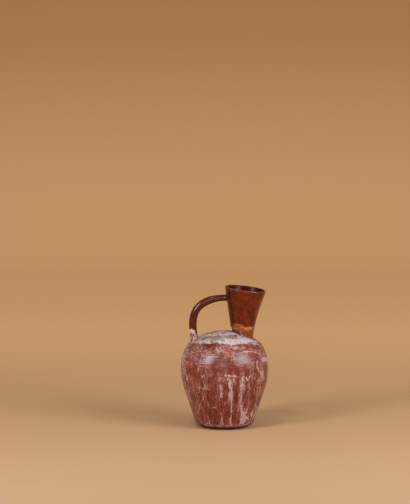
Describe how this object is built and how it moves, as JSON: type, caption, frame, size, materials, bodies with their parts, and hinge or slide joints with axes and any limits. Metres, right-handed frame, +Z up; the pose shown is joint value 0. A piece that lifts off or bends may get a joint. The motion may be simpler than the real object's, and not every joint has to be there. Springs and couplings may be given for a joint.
{
  "type": "ceramic vase",
  "caption": "Jug-shaped ceramic vase: shouldered body on a low foot ring, off-centre flared neck, and a round coil handle from neck to shoulder.",
  "frame": {"origin": "centre of the foot, on the plane that the vase stands on", "axes": "+Z up along the body's axis, +X from the handle towards the neck's open side, +Y away from the viewer in the picture"},
  "size_m": [0.1868, 0.1868, 0.3024],
  "materials": {
    "scumbled_clay": "satin red-brown clay under a streaked white wash",
    "brown_glaze": "glossy",
    "ochre_glaze": "semi-gloss",
    "pale_slip": "matte",
    "bare_clay": "matte"
  },
  "bodies": {
    "root": {"foot_ring": "bare_clay", "floor_slab": "bare_clay", "lower_bowl": "scumbled_clay", "upper_dome": "scumbled_clay", "neck_funnel": "brown_glaze", "neck_luting_coil": "ochre_glaze", "handle": "brown_glaze", "handle_top_pad": "brown_glaze", "handle_foot_pad": "pale_slip"}
  },
  "joints": []
}
